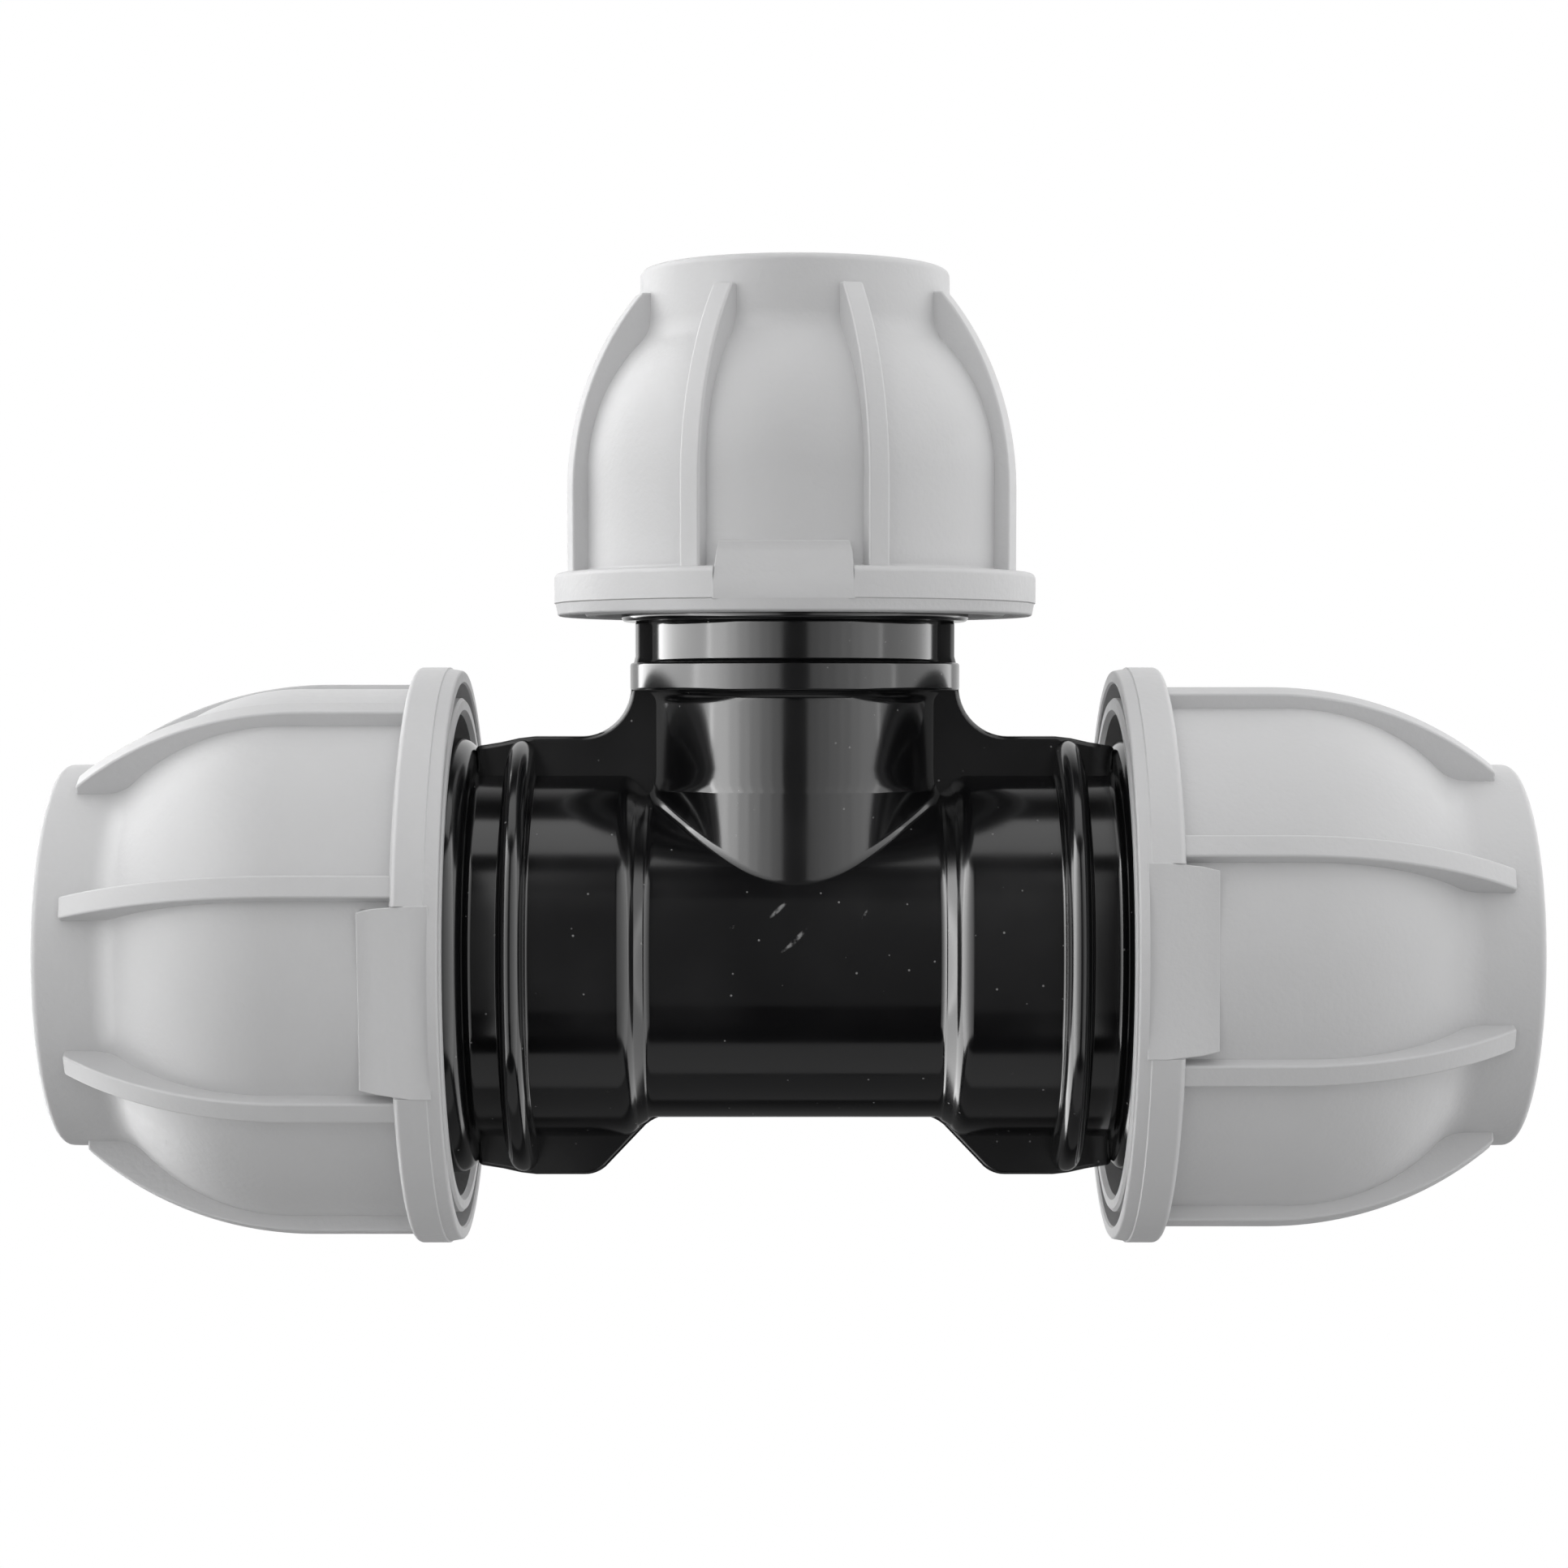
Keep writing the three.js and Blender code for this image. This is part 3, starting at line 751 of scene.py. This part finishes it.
def softbox(name, place, aim, wide, high, glow, shine):
    """A rectangular light. Its glow is what falls on matt surfaces and its shine what gloss mirrors.
    The two are a centimetre apart, so that neither hides the other."""
    place, aim = Vector(place), Vector(aim)
    for part, brightness, nearer in (("glow", glow, 0.0), ("shine", shine, 0.01)):
        if not brightness:
            continue
        data = bpy.data.lights.new(f"{name}_{part}", "AREA")
        data.shape = "RECTANGLE"
        data.size = wide
        data.size_y = high
        data.energy = brightness * math.pi * wide * high
        light = bpy.data.objects.new(data.name, data)
        bpy.context.scene.collection.objects.link(light)
        light.location = place + (aim - place).normalized() * nearer
        light.rotation_euler = (aim - place).to_track_quat("-Z", "Y").to_euler()
        light.visible_camera = False
        light.visible_glossy = part == "shine"
        light.visible_diffuse = part == "glow"


def backdrop(obj, name, colour):
    """A white surface that only the camera sees, so it neither lights nor shades the object."""
    obj.name = name
    material, _, shader, _ = plastic(name, (0, 0, 0), 1.0)
    shader.inputs["Specular IOR Level"].default_value = 0.0
    shader.inputs["Emission Color"].default_value = (*colour, 1)
    shader.inputs["Emission Strength"].default_value = 1.0
    obj.data.materials.append(material)
    obj.visible_diffuse = obj.visible_glossy = obj.visible_transmission = obj.visible_shadow = False


STUDIO_MIDDLE = Vector((0, 0, 0.02))
SIDE_DISTANCE = 0.95


def beside(name, side, away, wide, glow, shine):
    """A tall light to one side (-1 left, 1 right), away degrees round from straight ahead."""
    turned = math.radians(away) * side
    place = STUDIO_MIDDLE + Vector((math.sin(turned), -math.cos(turned), 0.08)) * SIDE_DISTANCE
    softbox(name, place, STUDIO_MIDDLE, wide, 2.4, glow, shine)


def side_lights():
    """On each side, two large lights for the matt nuts, and for the glossy body a row of strips that
    leaves a dark gap straight ahead and grows brighter outwards."""
    strips, first, step = 7, 10.0, 9.0
    strip_wide = 2 * SIDE_DISTANCE * math.tan(math.radians(step / 2))
    for side, name, dim, bright, glow in ((-1, "left", 1.5, 8.5, 1.0), (1, "right", 1.05, 2.9, 1.2)):
        beside(f"{name}_box", side, 39.5, 1.08, 0.5 * glow, 0)
        beside(f"{name}_side", side, 105.0, 1.3, 1.1 * glow, bright * 0.75)
        for i in range(strips):
            share = min(1.0, (i + 0.3) / (strips - 2))
            shine = dim * (bright / dim) ** share
            beside(f"{name}_strip_{i}", side, first + (i + 0.5) * step, strip_wide, 0, shine)


def studio():
    bpy.ops.object.select_all(action="DESELECT")
    bpy.ops.mesh.primitive_plane_add(size=3.0, location=(0, 0, cad_box[0][2] - 0.09))
    backdrop(bpy.context.object, "floor", (1, 1, 1))
    bpy.ops.mesh.primitive_uv_sphere_add(segments=32, ring_count=16, radius=4.0)
    backdrop(bpy.context.object, "backdrop", (1, 1, 1))
    side_lights()
    softbox("top_box", (0, 0.1, 1.0), STUDIO_MIDDLE, 1.2, 1.4, 1.5, 0)
    softbox("top_strip", (0, -0.12, 0.99), (0, -0.12, 0), 0.9, 0.5, 0, 1.8)
    softbox("low_box", (0, -0.3, -0.95), (0, -0.3, 0), 1.2, 0.5, 0.6, 0.5)
    softbox("low_back_box", (0, 0.25, -0.95), (0, 0.25, 0), 1.2, 0.55, 0.5, 0.18)
    softbox("front_fill", (0, -1.3, 0.15), STUDIO_MIDDLE, 2.2, 2.0, 0.34, 0.15)
    softbox("front_top", (0, -0.95, 0.8), STUDIO_MIDDLE, 1.6, 0.8, 0.4, 0)
    softbox("back_fill", (0, 1.3, 0.5), STUDIO_MIDDLE, 2.2, 2.0, 0.15, 0)
    world = bpy.data.worlds.new("studio")
    bpy.context.scene.world = world
    world.use_nodes = True
    tree = world.node_tree
    where = node(tree, "ShaderNodeTexCoord")
    split = node(tree, "ShaderNodeSeparateXYZ")
    tree.links.new(where.outputs["Generated"], split.inputs["Vector"])
    behind = ramp(tree, split.outputs["Y"], 0.45, 0.8, 0.02, 0.9)
    above = ramp(tree, split.outputs["Z"], -0.35, -0.1, 0.1, 1.0)
    tree.links.new(calculated(tree, "MULTIPLY", behind, above), tree.nodes["Background"].inputs["Color"])
    bpy.context.scene.view_settings.view_transform = "Standard"


def camera():
    """Level with the run, a little above it, and shifted so that the uprights stay upright."""
    distance, height = 0.379, math.radians(4.3)
    data = bpy.data.cameras.new("camera")
    data.sensor_width = 36.0
    data.lens = 77.9
    data.shift_y = 0.109
    obj = bpy.data.objects.new("camera", data)
    bpy.context.scene.collection.objects.link(obj)
    obj.location = (-0.0012, -distance * math.cos(height), distance * math.sin(height))
    obj.rotation_euler = (math.pi / 2 - height, 0, 0)
    bpy.context.scene.camera = obj


camera()
assemble()
studio()
